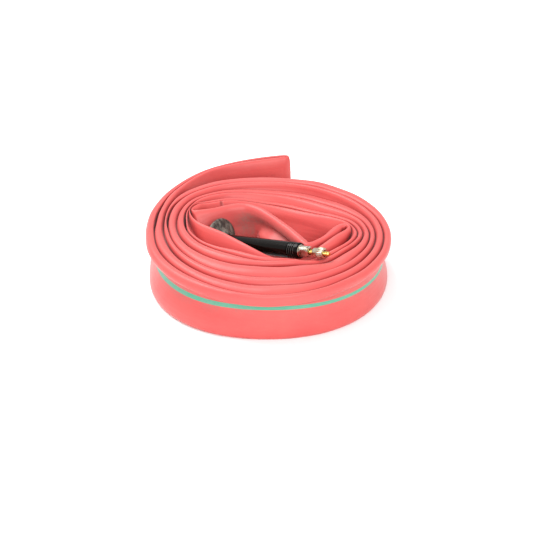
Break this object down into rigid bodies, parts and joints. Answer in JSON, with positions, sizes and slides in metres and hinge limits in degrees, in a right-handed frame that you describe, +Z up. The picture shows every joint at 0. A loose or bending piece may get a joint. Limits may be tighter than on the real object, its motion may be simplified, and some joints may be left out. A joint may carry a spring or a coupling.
{
  "type": "bicycle inner tube",
  "caption": "Latex bicycle inner tube, flattened, folded in two and rolled up on edge, with a black presta valve lying in the middle of the roll.",
  "frame": {"origin": "under the middle of the whole part, on the surface that it stands on", "axes": "+Z up; +Y towards the free folded end of the strip at the back; the valve points to +X and -Y"},
  "size_m": [0.092, 0.1064, 0.0232],
  "materials": {
    "latex": "soft satin coral latex with a light bloom of talc and a mint green line along its middle",
    "pad_rubber": "matt dark grey moulded rubber",
    "black_alloy": "black anodised, semi-gloss, bare at the mouth",
    "nickel": "bright nickel plate",
    "nickel_worn": "nickel plate worn to brass on its edges",
    "brass": "bare turned brass",
    "seal_rubber": "smooth black rubber"
  },
  "bodies": {
    "roll": {"inner_tube": "latex", "valve_pad": "pad_rubber", "valve_stem": "black_alloy"},
    "seal": {"core_seal": "seal_rubber"},
    "core": {"core_body": "nickel"},
    "pin": {"valve_pin": "brass", "pin_gasket": "seal_rubber", "gasket_cup": "brass"},
    "nut": {"lock_nut": "nickel_worn"}
  },
  "joints": [
    {"name": "core_out", "type": "slide", "parent": "roll", "child": "seal", "axis": [0.7829, -0.5769, 0.233], "range_m": [0, 0.0045]},
    {"name": "core_turn", "type": "hinge", "parent": "seal", "child": "core", "pos_m": [0.01186, -0.01812, 0.01852], "axis": [0.7829, -0.5769, 0.233], "range_deg": [0, 2162]},
    {"name": "pin_press", "type": "slide", "parent": "core", "child": "pin", "axis": [0.7829, -0.5769, 0.233], "range_m": [-0.0016, 0]},
    {"name": "nut_turn", "type": "hinge", "parent": "pin", "child": "nut", "pos_m": [0.01671, -0.0217, 0.01996], "axis": [0.7829, -0.5769, 0.233], "range_deg": [-1620, 1440]}
  ],
  "couplings": [
    {"joint": "core_turn", "follows": "core_out", "rad_per_m": 8377.6}
  ]
}
